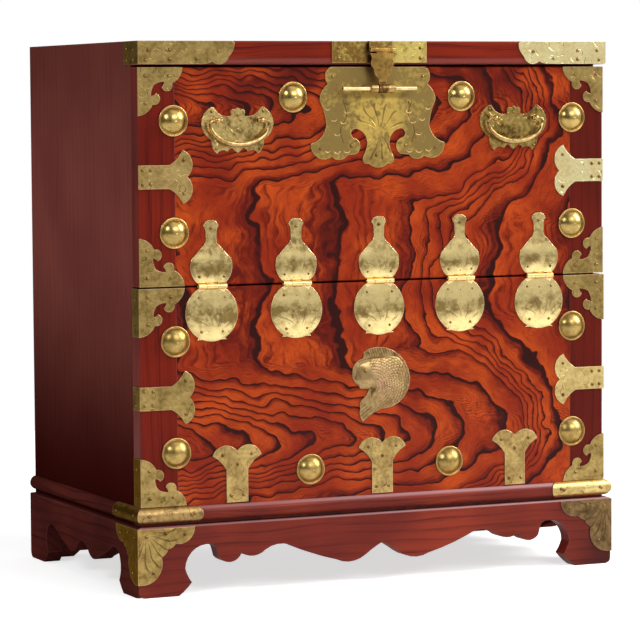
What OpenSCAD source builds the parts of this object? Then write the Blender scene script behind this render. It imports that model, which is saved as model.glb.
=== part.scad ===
// Drop-front blanket chest in lacquered elm with brass fittings.
// The upper half of the front is a flap that tips forward on five gourd-shaped hinges.
// A hasp on the top board drops between two eyes on the flap, and a rod locks the three.
// Millimetres. The front faces -Y, the left side is -X and the floor is z = 0.

/* [Case] */
// Width across the front panels
case_w = 600; // [540:1:760]
// Depth from the face of the front panels to the back
case_d = 365; // [300:1:480]
// Height of the chest above the floor
total_h = 632; // [600:1:760]
// Thickness of the side boards
side_t = 20; // [16:0.5:26]
// Thickness of the top board
top_t = 27; // [24:0.5:34]
// Thickness of the bottom board
bottom_t = 16; // [10:0.5:22]
// Height of the bottom board's underside above the base
bottom_rise = 12; // [4:0.5:30]
// Thickness of the back panel
back_t = 9; // [6:0.5:14]
// Depth of the grooves and rebates that house the boards
housing = 7; // [4:0.5:9]
// How far the top board stands out in front of the panels
top_lip = 5; // [3:0.5:9]
// Radius under the front edge of the top board
lip_round = 4; // [2:0.5:8]

/* [Front panels] */
// Thickness of the lower panel
panel_t = 22; // [18:0.5:26]
// Height of the hinge line between the lower panel and the flap
split_z = 353; // [320:1:400]
// Gap between the flap and the lower panel
split_gap = 2; // [1.2:0.1:3]
// Gap between the shut flap and the side boards behind it
shut_gap = 0.3; // [0.2:0.05:0.6]
// Gap that the flap's top corner keeps under the top board as it swings
swing_clear = 1.5; // [1:0.1:4]
// Width of the upright border boards
border_w = 45; // [36:1:60]
// Thickness of the tongues that join the panels to their borders
tongue_t = 7; // [5:0.5:9]
// Length of those tongues
tongue_l = 9; // [6:0.5:14]
// Chamfer along the panels' outer edges
ease = 1.2; // [0.6:0.1:2]

/* [Base] */
// Height of the base
base_h = 80.5; // [74:0.5:110]
// How far the base and the moulding stand out from the case
base_proud = 7; // [5:0.5:10]
// Thickness of the base boards
apron_t = 20; // [18:0.5:26]
// Height of the plain rail at the back of the base
rail_h = 34; // [24:1:36]
// Height of the shadow line between the base and the moulding
groove_h = 4; // [2:0.5:6]
// Height of the moulding
mould_h = 17; // [15:0.5:22]
// Size of the glue blocks in the corners of the base
block_w = 32; // [20:1:40]

/* [Hinges] */
// Distance of the outer hinges' middles from the panels' side edges
hinge_edge = 88; // [84:1:100]
// Radius of the knuckles
knuckle_r = 3; // [2.6:0.1:3.6]
// Length of the three knuckles together
knuckle_l = 35; // [31:0.5:38]
// Radius of the hinge pins
pin_r = 1.3; // [1:0.1:1.6]
// Radius of the upper body of the gourd
gourd_r = 26; // [24:0.5:28]
// Radius of the lower body of the gourd
gourd_foot_r = 32.5; // [30:0.5:35]
// How far the gourd bodies swell in front of a flat plate
swell = 1.8; // [1:0.1:2.4]

/* [Brass] */
// Thickness of the brass plates
brass_t = 1.2; // [0.8:0.1:1.6]
// Length of each leg of the cloud-shaped corner brackets
cloud_leg = 55; // [48:1:62]
// Length of the fish-tail straps
strap_l = 66; // [60:1:74]
// Width of the straps' stems
strap_w = 27; // [22:0.5:32]
// Width across the straps' tails
tail_w = 61; // [54:1:66]
// Distance of the outer bottom straps' middles from the panel's side edges
strap_edge = 119.5; // [112:0.5:130]
// How far the lower fittings wrap onto the panel's edge
wrap_l = 20; // [12:1:21]
// Length of the top board's corner plates along the front
top_plate_l = 117; // [100:1:130]
// Length of the top board's corner plates along the side
top_plate_side = 39; // [30:1:60]
// Length of the moulding's corner clips from the outer corner
clip_l = 80; // [60:1:100]
// Length of the foot brackets along the top of the base
foot_plate_l = 69; // [60:1:80]
// Outer radius of the round bosses
boss_r = 18; // [15:0.5:20]
// Height of the round bosses
boss_h = 10; // [8:0.5:10.5]
// Distance from the bosses' centres to the panels' side edges
boss_edge = 43; // [38:1:50]
// Height of the carp plate
carp_h = 87; // [78:1:95]

/* [Lock] */
// Distance of the rod and the hasp's hinge from the panels' face
lock_y = 13; // [12.5:0.25:15]
// Distance of the rod below the flap's top edge
lock_drop = 25.3; // [22:0.1:34]
// Radius of the rod
rod_r = 2.6; // [2:0.1:2.8]
// Length of the rod
rod_l = 95; // [80:1:110]
// How far the rod's middle lies left of the hasp
rod_offset = 3.5; // [0:0.5:8]
// Outer radius of the eyes and of the hasp's loop
eye_r = 5.3; // [5:0.1:6]
// Width of each eye and of the hasp's loop
eye_w = 10.3; // [8:0.1:12]
// Height of the lock plate
lock_plate_h = 118.5; // [108:0.5:125]
// Width of the plate that carries the hasp
hasp_plate_w = 122; // [100:1:140]
// Distance of the hasp's hinge below the top
hasp_drop = 10; // [9:0.5:12]
// Thickness of the hasp's strap
hasp_t = 1.8; // [1.4:0.1:2.4]

/* [Handles] */
// Distance of the handles' middles from the flap's side edges
handle_edge = 122; // [116:1:130]
// Width of the handle plates
handle_plate_w = 89.6; // [84:0.2:94]
// Distance of the handle's pivots below the flap's top edge
handle_drop = 60.7; // [50:0.1:80]
// Distance of the pivots from the panels' face
bail_y = 8; // [7.5:0.25:9.5]
// Half the distance between a handle's two posts
post_x = 27.3; // [25:0.1:29]
// Half the width of the bail
bail_w = 36.5; // [35:0.5:40]
// How far the bail hangs below its pivots
bail_drop = 27.5; // [24:0.5:32]
// Radius of the bail's bar at its ends
bail_end_r = 1.6; // [1.3:0.1:1.8]
// Radius of the bail's bar at its middle
bail_mid_r = 3.3; // [2.6:0.1:3.8]

/* [Fits] */
// Radial clearance of pins, rod and bails in their holes
run_fit = 0.05; // [0.02:0.01:0.09]
// Gap between neighbouring knuckles and eyes
side_gap = 0.3; // [0.2:0.05:0.6]
// Gap between a knuckle and the wood or plate behind it
back_gap = 0.3; // [0.2:0.05:0.5]

/* [Hidden] */
$fn = 64;

// Degrees between the points of a bowed edge
arc_step = 15;
// Overlap of solids that are joined into one piece
bite = 0.2;

// Heights
mould_z = base_h + groove_h;
panel_foot = mould_z + mould_h;
lip_z = total_h - top_t;
flap_foot = split_z + split_gap / 2;
lower_top = split_z - split_gap / 2;
flap_t = panel_t - shut_gap;

// The hinge line lies in front of the panels, so the knuckles clear the wood behind them.
hinge_y = knuckle_r + back_gap;
// The flap is as tall as its swinging top corner allows.
swing_r = lip_z - swing_clear - split_z;
flap_top = split_z + sqrt(pow(swing_r, 2) - pow(flap_t + hinge_y, 2));

half_w = case_w / 2;
inner_w = half_w - side_t;
base_w = half_w + base_proud;
lock_z = flap_top - lock_drop;
hasp_z = total_h - hasp_drop;
handle_x = half_w - handle_edge;
handle_z = flap_top - handle_drop;
hinge_pitch = (half_w - hinge_edge) / 2;
pin_hole_r = pin_r + run_fit;

// The origin is the middle of the chest's outline on the floor, so the face lies at face_y.
front_y = lock_y + eye_r;
face_y = (front_y - case_d) / 2;

// Colours
brass = [0.70, 0.60, 0.33];
bright_brass = [0.80, 0.70, 0.42];
figured = [0.62, 0.23, 0.10];
border_red = [0.42, 0.13, 0.09];
case_red = [0.34, 0.14, 0.12];
base_red = [0.45, 0.18, 0.14];

// ---- Outlines -------------------------------------------------------------------------------
// An outline is a list of rows [x, y, bow], run anticlockwise. The side after each corner is
// straight, or an arc that stands out from it by bow (inwards if bow is negative).

function turned(v, a) = [v[0] * cos(a) - v[1] * sin(a), v[0] * sin(a) + v[1] * cos(a)];

function bowed_side(a, b, bow) =
    bow == 0 ? [a] :
    let (d = b - a,
         half = norm(d) / 2,
         s = abs(bow),
         r = (half * half + s * s) / (2 * s),
         out = [d[1], -d[0]] / (2 * half) * sign(bow),
         centre = (a + b) / 2 + out * (s - r),
         sweep = 2 * atan2(half, r - s),
         steps = max(3, ceil(sweep / arc_step)))
    [for (k = [0:steps - 1]) centre + turned(a - centre, sign(bow) * sweep * k / steps)];

function outline(rows) =
    [for (i = [0:len(rows) - 1])
        let (p = rows[i], q = rows[(i + 1) % len(rows)])
        each bowed_side([p[0], p[1]], [q[0], q[1]], p[2])];

// The right half of a shape, from its foot up, and the same half mirrored
function both_halves(rows) =
    let (n = len(rows) - 1, last = rows[0][0] == 0 ? 1 : 0)
    concat([for (i = [0:n - 1]) rows[i]],
           rows[n][0] == 0 ? [] : [[rows[n][0], rows[n][1], 0]],
           [for (i = [n:-1:last]) [-rows[i][0], rows[i][1], i > 0 ? rows[i - 1][2] : 0]]);

// One leg of a corner bracket, from its tip to the diagonal, and the same leg across it
function both_legs(rows) =
    let (n = len(rows) - 1)
    concat([[0, 0, 0]],
           [for (i = [0:n - 1]) rows[i]],
           [for (i = [n:-1:0]) [rows[i][1], rows[i][0], i > 0 ? rows[i - 1][2] : 0]]);

function scaled(rows, k) = [for (p = rows) [p[0] * k, p[1] * k, p[2] * k]];

// ---- Placing --------------------------------------------------------------------------------

module chest() translate([0, face_y, 0]) children();

// A flat shape drawn in x and z becomes a plate t thick whose back lies at y
module facing(t, y = 0) translate([0, y, 0]) rotate([90, 0, 0]) linear_extrude(t) children();

// A flat shape drawn in y and z becomes a plate t thick that starts at x
module sideways(t, x) translate([x, 0, 0]) rotate([90, 0, 90]) linear_extrude(t) children();

// A box between two corners
module block(a, b) translate(a) cube(b - a);

module mirrored_if(on) {
    if (on) mirror([1, 0, 0]) children();
    else children();
}

module along_x(r, x0, x1) translate([x0, 0, 0]) rotate([0, 90, 0]) cylinder(r = r, h = x1 - x0);

// ---- Case -----------------------------------------------------------------------------------

// The sides and the top meet in a mitre, so that no end grain shows.
module side_board() difference() {
    facing(case_d - panel_t, case_d) polygon([[inner_w, base_h], [half_w, base_h],
        [half_w, total_h], [inner_w, lip_z]]);
    block([inner_w - 1, panel_t - 1, base_h + bottom_rise],
          [inner_w + housing, case_d - back_t, base_h + bottom_rise + bottom_t]);
    block([inner_w - 1, case_d - back_t, base_h - 1], [inner_w + housing, case_d + 1, total_h]);
}

module side_right() color(case_red) chest() side_board();
module side_left() color(case_red) chest() mirror([1, 0, 0]) side_board();

module top_board() color(case_red) chest() difference() {
    union() {
        facing(case_d - panel_t + bite, case_d) polygon([[-inner_w, lip_z], [inner_w, lip_z],
            [half_w, total_h], [-half_w, total_h]]);
        sideways(case_w, -half_w) polygon(outline([[lip_round - top_lip, lip_z, 0],
            [panel_t, lip_z, 0], [panel_t, total_h, 0], [ease - top_lip, total_h, 0],
            [-top_lip, total_h - ease, 0], [-top_lip, lip_z + lip_round, lip_round * 0.29]]));
    }
    block([-inner_w - housing, case_d - back_t, lip_z - 1],
          [inner_w + housing, case_d + 1, lip_z + housing]);
}

module bottom_board() color(case_red) chest()
    block([-inner_w - housing, panel_t, base_h + bottom_rise],
          [inner_w + housing, case_d - back_t, base_h + bottom_rise + bottom_t]);

module back_panel() color(case_red) chest()
    block([-inner_w - housing, case_d - back_t, base_h],
          [inner_w + housing, case_d, lip_z + housing]);

// ---- Front panels ---------------------------------------------------------------------------
// Each panel is a figured board between two upright borders, joined by tongues.

module panel_section(z0, z1, t) sideways(case_w, -half_w)
    polygon([[0, z0 + ease], [ease, z0], [t, z0], [t, z1], [ease, z1], [0, z1 - ease]]);

module tongue(z0, z1, t) block([half_w - border_w - bite, (t - tongue_t) / 2, z0],
                               [half_w - border_w + tongue_l, (t + tongue_t) / 2, z1]);

module figured_board(z0, z1, t) {
    seam = half_w - border_w;
    intersection() {
        panel_section(z0, z1, t);
        block([-seam, 0, z0], [seam, t, z1]);
    }
    tongue(z0 + ease, z1 - ease, t);
    mirror([1, 0, 0]) tongue(z0 + ease, z1 - ease, t);
}

module border_board(z0, z1, t) difference() {
    intersection() {
        panel_section(z0, z1, t);
        linear_extrude(total_h) polygon([[half_w - border_w, 0], [half_w - ease, 0],
            [half_w, ease], [half_w, t], [half_w - border_w, t]]);
    }
    tongue(z0 - 1, z1 + 1, t);
}

module lower_board() color(figured) chest() figured_board(base_h, lower_top, panel_t);
module lower_border_right() color(border_red) chest() border_board(base_h, lower_top, panel_t);
module lower_border_left() color(border_red) chest() mirror([1, 0, 0])
    border_board(base_h, lower_top, panel_t);

module flap_board() color(figured) chest() figured_board(flap_foot, flap_top, flap_t);
module flap_border_right() color(border_red) chest() border_board(flap_foot, flap_top, flap_t);
module flap_border_left() color(border_red) chest() mirror([1, 0, 0])
    border_board(flap_foot, flap_top, flap_t);

// ---- Moulding -------------------------------------------------------------------------------
// A half-round bead along the front and sides of the case, mitred at the front corners.

// Its round face is one arc, as high as the moulding where it meets the case.
mould_r = (pow(mould_h / 2, 2) + pow(base_proud, 2)) / (2 * base_proud);

// The panel's bottom plates start just above the brass that hugs the moulding.
plate_foot = mould_z + mould_h / 2 + back_gap
    + sqrt(pow(mould_r + brass_t, 2) - pow(mould_r - base_proud, 2));

module half_round(grow) intersection() {
    translate([mould_r - base_proud, mould_h / 2]) circle(mould_r + grow, $fn = 96);
    translate([-2 * mould_h, -mould_h]) square([2 * mould_h, 3 * mould_h]);
}

// Everything in front of the mitre plane through the right front corner of the case
module mitre_front(reach, h) linear_extrude(h) polygon([[0, 0], [half_w, 0],
    [half_w + reach, -reach], [0, -reach]]);

module moulding_run(grow, x0, x1) translate([x0, 0, mould_z]) rotate([90, 0, 90])
    linear_extrude(x1 - x0) half_round(grow);

module moulding_front() color(base_red) chest() intersection() {
    moulding_run(0, -base_w, base_w);
    union() {
        mitre_front(base_proud, total_h);
        mirror([1, 0, 0]) mitre_front(base_proud, total_h);
    }
}

module moulding_flank() difference() {
    translate([half_w, case_d, mould_z]) rotate([90, 0, 0]) linear_extrude(case_d + base_proud)
        mirror([1, 0]) half_round(0);
    mitre_front(base_proud + 1, total_h);
}

module moulding_right() color(base_red) chest() moulding_flank();
module moulding_left() color(base_red) chest() mirror([1, 0, 0]) moulding_flank();

// ---- Base -----------------------------------------------------------------------------------
// Scalloped boards whose ends are the feet. The middle of each scallop keeps its place in the
// middle of the board, and the foot and the arch beside it keep theirs at the end.

middle_front = [[0, 46, -0.6], [22, 32.5, 5.4], [60, 29, 1.2], [112, 46.8, -5.6]];
end_front = [[157, 46.5, 5.2], [127, 44.6, 7.8], [99.5, 41, 0], [97, 50.5, -1.4],
    [90, 57.2, -9.8], [57, 31, -0.9], [65, 15, 0.8], [49, 0, 0], [8, 0, 2.3], [0, 8, 0]];
middle_side = [[0, 43.5, -1.2], [17.5, 37, 7.2], [54, 31, 0.8]];
end_side = [[90, 47, -5.6], [61, 42.5, 0], [58, 34, -0.4], [58, 24, -0.4], [63, 13.5, 0.8],
    [49, 0, 0], [8, 0, 2.3], [0, 8, 0]];

// Half of a scalloped board e long. The scallops are as large as the base's height makes them.
function apron_rows(e, middle, end) =
    let (k = base_h / 80.5)
    concat(scaled(middle, k), [for (p = end) [e - p[0] * k, p[1] * k, p[2] * k]], [[e, base_h, 0]]);

// A chamfer along the top outer edge, cut from a board whose face lies at -base_proud
module top_chamfer(l) translate([-l, -base_proud, base_h]) rotate([45, 0, 0])
    cube([2 * l, 2, 2], center = false);

module apron_front() color(base_red) chest() intersection() {
    difference() {
        facing(apron_t, apron_t - base_proud) polygon(outline(both_halves(
            apron_rows(base_w, middle_front, end_front))));
        translate([0, 0, -ease]) top_chamfer(base_w);
    }
    union() {
        translate([0, apron_t - base_proud, 0]) base_mitre();
        mirror([1, 0, 0]) translate([0, apron_t - base_proud, 0]) base_mitre();
    }
}

// The right half of the front board's plan, cut along the mitre
module base_mitre() linear_extrude(base_h) polygon([[0, 0], [base_w - apron_t, 0],
    [base_w, -apron_t], [0, -apron_t]]);

module apron_flank() difference() {
    e = (case_d + base_proud) / 2;
    translate([0, e - base_proud, 0])
        sideways(apron_t, base_w - apron_t) polygon(outline(both_halves(
            apron_rows(e, middle_side, end_side))));
    translate([0, apron_t - base_proud, 0]) linear_extrude(base_h) polygon([[0, 0],
        [base_w - apron_t, 0], [base_w + 1, -apron_t - 1], [0, -apron_t - 1]]);
    translate([base_w, case_d / 2, base_h - ease]) rotate([0, -45, 0])
        translate([0, -case_d, 0]) cube([2, 2 * case_d, 2]);
}

module apron_right() color(base_red) chest() apron_flank();
module apron_left() color(base_red) chest() mirror([1, 0, 0]) apron_flank();

// The back of the base has the same feet under a plain rail.
module apron_back() color(base_red) chest() {
    e = base_w - apron_t;
    k = base_h / 80.5;
    facing(apron_t, case_d) polygon(outline(both_halves([[0, base_h - rail_h, 0],
        [base_w - 82 * k, base_h - rail_h, -9.5 * k], [base_w - 57 * k, 31 * k, -0.9 * k],
        [base_w - 65 * k, 15 * k, 0.8 * k], [base_w - 49 * k, 0, 0], [e, 0, 0], [e, base_h, 0]])));
}

module base_corner_blocks() color(base_red) chest() {
    x = base_w - apron_t;
    front = apron_t - base_proud;
    back = case_d - apron_t;
    block_z = base_h - rail_h;
    for (left = [false, true])
        mirrored_if(left) {
            translate([0, 0, block_z]) linear_extrude(rail_h)
                polygon([[x, front], [x, front + block_w], [x - block_w, front]]);
            translate([0, 0, block_z]) linear_extrude(rail_h)
                polygon([[x, back], [x - block_w, back], [x, back - block_w]]);
        }
}

// ---- Gourd hinges ---------------------------------------------------------------------------
// Both leaves are drawn about their hinge line, which runs along x through the origin.

middle_knuckle = knuckle_l - 2 * (knuckle_l * 0.3 + side_gap);
leaf_gap = knuckle_r + 0.5;
neck_h = 75.3;
gourd_up = sqrt(pow(gourd_r, 2) - pow(knuckle_l / 2, 2)) + leaf_gap;
gourd_down = sqrt(pow(gourd_foot_r, 2) - pow(knuckle_l / 2, 2)) + leaf_gap;

module upper_gourd() {
    intersection() {
        translate([0, gourd_up]) circle(gourd_r, $fn = 96);
        translate([-gourd_r, leaf_gap]) square([2 * gourd_r, neck_h]);
    }
    polygon(outline(both_halves([[11.5, gourd_up + 14, 0], [11.5, gourd_up + 23.3, -2.2],
        [6.8, 57, 0], [6.8, 62.5, -0.7], [9.4, 69, 2.2], [0, neck_h, 0]])));
}

module lower_gourd() {
    intersection() {
        translate([0, -gourd_down]) circle(gourd_foot_r, $fn = 96);
        translate([-gourd_foot_r, -gourd_down - gourd_foot_r])
            square([2 * gourd_foot_r, gourd_down + gourd_foot_r - leaf_gap]);
    }
    foot = -gourd_down - gourd_foot_r + 2;
    polygon(outline(both_halves([[0, foot, 0], [18.5, foot, -0.8], [15.5, foot + 6, 0],
        [15.5, foot + 14, 0], [0, foot + 14, 0]])));
}

// A plate whose round body swells forward, inside a narrow flat rim, about the height z
module swollen_plate(z, r) {
    facing(brass_t, hinge_y) children();
    rim = r - 0.8;
    dome_r = (rim * rim + swell * swell) / (2 * swell);
    intersection() {
        facing(brass_t + swell + 1, hinge_y) children();
        translate([0, hinge_y, z]) rotate([90, 0, 0]) rotate_extrude($fn = 96) intersection() {
            translate([0, brass_t + swell - dome_r]) circle(dome_r, $fn = 720);
            translate([0, bite]) square([rim + 0.3, brass_t + swell]);
        }
    }
}

// A knuckle with the tail of plate that is rolled into it. side is 1 above the hinge line
module knuckle(x0, x1, side) difference() {
    union() {
        along_x(knuckle_r, x0, x1);
        block([x0, hinge_y - brass_t - back_gap, min(0, side * (leaf_gap + bite))],
              [x1, hinge_y - back_gap, max(0, side * (leaf_gap + bite))]);
    }
    along_x(pin_hole_r, x0 - 1, x1 + 1);
}

module hinge_at(i) chest() translate([(i - 3) * hinge_pitch, -hinge_y, split_z]) children();

module upper_leaf(i) color(brass) hinge_at(i) {
    swollen_plate(gourd_up, gourd_r) upper_gourd();
    knuckle(-middle_knuckle / 2, middle_knuckle / 2, 1);
}

module lower_leaf(i) color(bright_brass) hinge_at(i) {
    swollen_plate(-gourd_down, gourd_foot_r) lower_gourd();
    knuckle(-knuckle_l / 2, -middle_knuckle / 2 - side_gap, -1);
    knuckle(middle_knuckle / 2 + side_gap, knuckle_l / 2, -1);
}

module hinge_pins() color(bright_brass)
    for (i = [1:5])
        hinge_at(i) along_x(pin_r, -knuckle_l / 2 - 0.8, knuckle_l / 2 + 0.8);

// ---- Brackets and straps --------------------------------------------------------------------

// Cloud bracket: one leg runs along x, the other along y, from the corner at the origin
module cloud() {
    k = cloud_leg / 55.5;
    polygon(outline(both_legs(scaled([[55.5, 0, 3.2], [42.5, 18.5, 7], [29.5, 22.5, -1],
        [32.5, 16.5, -1], [20.2, 20.2, 0]], k))));
}

// A pair of brackets at the height z, whose legs run up (1) or down (-1), with a fold onto the
// panel's edge that is fold long
module cloud_pair(z, way, fold) {
    for (left = [false, true])
        mirrored_if(left) translate([half_w, 0, z]) {
            facing(brass_t) mirror([1, 0]) if (way > 0) cloud(); else mirror([0, 1]) cloud();
            if (fold > 0)
                block([0, -brass_t, min(0, way * cloud_leg)],
                      [brass_t, fold, max(0, way * cloud_leg)]);
        }
}

module flap_brackets_top() color(brass) chest() cloud_pair(flap_top, -1, 0);
module flap_brackets_bottom() color(brass) chest() cloud_pair(flap_foot, 1, 0);
module lower_brackets_top() color(brass) chest() cloud_pair(lower_top, -1, wrap_l);
module lower_brackets_bottom() color(brass) chest() cloud_pair(plate_foot, 1, wrap_l);

// Fish-tail strap: the stem stands on the origin and the tail points up
module fish_tail() {
    k = tail_w / 61;
    half = strap_w / 2;
    polygon(outline(both_halves([[half, 0, 0], [half, strap_l - 28 * k, -1.8 * k],
        [tail_w / 2, strap_l - 11.5 * k, 9 * k], [0, strap_l - 6.5 * k, 0]])));
}

module side_strap(z, fold) translate([half_w, 0, z]) {
    facing(brass_t) rotate(90) fish_tail();
    if (fold > 0)
        block([0, -brass_t, -strap_w / 2], [brass_t, fold, strap_w / 2]);
}

// The side straps are at half height, and the outer bottom straps were nailed on a little left.
flap_strap_z = (flap_foot + flap_top) / 2;
lower_strap_z = (panel_foot + lower_top) / 2;
bottom_strap_x = [strap_edge - half_w - 1.5, 3, half_w - strap_edge - 1.5];

module flap_strap_right() color(bright_brass) chest() side_strap(flap_strap_z, 0);
module flap_strap_left() color(brass) chest() mirror([1, 0, 0]) side_strap(flap_strap_z, 0);
module lower_strap_right() color(bright_brass) chest() side_strap(lower_strap_z, wrap_l);
module lower_strap_left() color(brass) chest() mirror([1, 0, 0]) side_strap(lower_strap_z, wrap_l);

module bottom_straps() color(brass) chest()
    for (x = bottom_strap_x)
        translate([x, 0, plate_foot]) facing(brass_t) fish_tail();

// ---- Corner plates of the top board, the moulding and the feet -------------------------------

plate_rise = 0.5;

module top_corner() {
    l = top_plate_l;
    h = top_t - plate_rise;
    translate([half_w, -top_lip, lip_z + plate_rise]) {
        facing(brass_t) mirror([1, 0]) polygon(outline([[0, 0, 0], [l - 40, 0, 0.8],
            [l - 27.5, 3, 6], [l - 7, 9, 1.6], [l, h - 4, 1.2], [l - 4, h, 0], [0, h, 0]]));
        block([0, -brass_t, 0], [brass_t, top_lip + top_plate_side, h]);
    }
}

module top_corner_right() color(bright_brass) chest() top_corner();
module top_corner_left() color(brass) chest() mirror([1, 0, 0]) top_corner();

// The clip hugs the moulding, so it is the moulding's own section grown by the brass.
module moulding_clip() difference() {
    intersection() {
        union() {
            intersection() {
                moulding_run(brass_t, 0, base_w + brass_t);
                mitre_front(base_proud + brass_t, total_h);
            }
            difference() {
                translate([half_w, case_d, mould_z]) rotate([90, 0, 0])
                    linear_extrude(case_d + base_proud + brass_t) mirror([1, 0]) half_round(brass_t);
                mitre_front(base_proud + brass_t + 1, total_h);
            }
        }
        union() {
            facing(2 * base_proud, 0) clip_end(base_w - clip_l, base_w + 2);
            block([half_w, -base_proud - 2, mould_z - 2],
                  [base_w + 2, clip_l - base_proud, panel_foot + 2]);
        }
    }
    intersection() {
        moulding_run(0, 0, base_w);
        mitre_front(base_proud, total_h);
    }
    moulding_flank();
}

// A strip along x at the moulding's height, with a round left end
module clip_end(x0, x1) {
    h = mould_h + 2 * brass_t;
    translate([x0 + h / 2, mould_z - brass_t]) square([x1 - x0 - h / 2, h]);
    translate([x0 + h / 2, mould_z - brass_t + h / 2]) circle(h / 2);
}

module moulding_clip_right() color(bright_brass) chest() moulding_clip();
module moulding_clip_left() color(brass) chest() mirror([1, 0, 0]) moulding_clip();

module foot_outline() {
    k = foot_plate_l / 69;
    polygon(outline(scaled([[0, 0, 0], [69, 0, 7.5], [45, 18.6, 1.4], [36, 24, 1.4],
        [28, 33, 11.5], [0, 64, 0]], k)));
}

module foot_bracket() translate([base_w, -base_proud, base_h - ease]) {
    facing(brass_t) mirror([1, 0]) mirror([0, 1]) foot_outline();
    sideways(brass_t, 0) mirror([0, 1]) foot_outline();
    block([0, -brass_t, -foot_plate_l * 64 / 69], [brass_t, 0, 0]);
}

module foot_bracket_right() color(bright_brass) chest() foot_bracket();
module foot_bracket_left() color(brass) chest() mirror([1, 0, 0]) foot_bracket();

// ---- Bosses ---------------------------------------------------------------------------------

// At the sides a boss lies between the tail of the strap and the bracket beyond it, and above
// it lies between the lock plate and the wing of the handle.
cloud_w = 18.5 * cloud_leg / 55.5;
boss_share = 0.44;
boss_side = half_w - boss_edge;
boss_top_x = (lock_plate_h * 75 / 118.5 + handle_x - handle_plate_w * 0.4) / 2;
function by_strap(z, bracket_z) =
    let (tail_z = z + sign(bracket_z - z) * tail_w / 2, leg_z = bracket_z - sign(bracket_z - z) * cloud_w)
    tail_z + boss_share * (leg_z - tail_z);

flap_boss_places = [
    for (x = [-boss_side, boss_side], z = [flap_foot, flap_top]) [x, by_strap(flap_strap_z, z)],
    for (x = [-boss_top_x, boss_top_x]) [x, flap_top - 34.5]];
lower_boss_places = [
    for (x = [-boss_side, boss_side], z = [plate_foot, lower_top]) [x, by_strap(lower_strap_z, z)],
    for (i = [0, 1]) [(bottom_strap_x[i] + bottom_strap_x[i + 1]) / 2, plate_foot + strap_l / 2]];

module boss() rotate([90, 0, 0]) rotate_extrude() intersection() {
    bead = 1.1;
    dome_r = boss_r - 2 * bead - 0.5;
    cap_r = (dome_r * dome_r + pow(boss_h - 1, 2)) / (2 * (boss_h - 1));
    union() {
        square([boss_r - bead, 1]);
        translate([boss_r - bead, 1]) circle(bead);
        intersection() {
            translate([0, boss_h - cap_r]) circle(cap_r);
            translate([0, 0.5]) square([dome_r, boss_h]);
        }
    }
    square([boss_r, boss_h]);
}

module bosses(places) color(bright_brass) chest()
    for (p = places)
        translate([p[0], 0, p[1]]) boss();

module flap_bosses() bosses(flap_boss_places);
module lower_bosses() bosses(lower_boss_places);

// ---- Carp plate -----------------------------------------------------------------------------
// A carp curled to the left, head up, with its back fin along the top.

carp_z = lower_strap_z + 6.3;

module carp_plate() color(brass) chest() translate([0, 0, carp_z]) facing(brass_t)
    polygon(outline(scaled([[-21.8, -45, -1.4], [2, -30.5, 11.3], [39.9, 4.5, 10.6],
        [-0.6, 42, 1.8], [-20.8, 36.4, -0.4], [-21.2, 29, 4.2], [-35.2, 13, 1.4], [-30.6, 0, 0],
        [-26.6, -0.3, 0.8], [-22.5, -5.7, 0.6], [-13.3, -7, -1.2], [-24.3, -20.5, 0.8],
        [-25.6, -27, 0], [-24.9, -30.5, 0.6], [-25.8, -35.5, 0], [-24.3, -41.75, 0]],
        carp_h / 87)));

// ---- Lock -----------------------------------------------------------------------------------

// The two hooked cut-outs leave a fan-shaped tongue between them.
module lock_plate() color(brass) chest() translate([0, 0, flap_top]) facing(brass_t)
    polygon(outline(both_halves(scaled([[0, -117.3, 1.2], [12.3, -112.3, 4],
        [19.3, -103.8, -0.7], [14.4, -90.3, -4.6], [28, -71.7, -6.3], [29.5, -82.9, 6.3],
        [29.5, -101.3, 0], [39.8, -102.3, 4.6], [59.8, -103.8, 9.7], [86.3, -88.5, -4.7],
        [66.3, -67.3, -1.5], [74.8, -38.3, 2.6], [64, -19.8, 5.2], [60.5, 0, 0]],
        lock_plate_h / 118.5))));

eye_x = eye_w + 2 * side_gap;
// Chamfer round the ends of each eye
eye_ease = 1.4;

module at_rod() chest() translate([0, -lock_y, lock_z]) children();

module lock_eyes() color(brass) at_rod()
    for (x = [-eye_x, eye_x])
        difference() {
            union() {
                translate([x - eye_w / 2, 0, 0]) rotate([0, 90, 0]) rotate_extrude()
                    polygon([[0, 0], [eye_r - eye_ease, 0], [eye_r, eye_ease],
                        [eye_r, eye_w - eye_ease], [eye_r - eye_ease, eye_w], [0, eye_w]]);
                block([x - eye_w / 2, 0, -2.6], [x + eye_w / 2, lock_y - brass_t, 2.6]);
            }
            along_x(rod_r + run_fit, x - eye_w, x + eye_w);
        }

module lock_rod() color(bright_brass) at_rod() translate([-rod_offset - rod_l / 2, 0, 0])
    rotate([0, 90, 0]) rotate_extrude() polygon([[0, 0], [rod_r - 0.6, 0], [rod_r, 0.6],
        [rod_r, rod_l - 0.6], [rod_r - 0.6, rod_l], [0, rod_l]]);

hasp_knuckle_l = 31.4;
hasp_middle = 15;

module at_hasp() chest() translate([0, -lock_y, hasp_z]) children();

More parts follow.
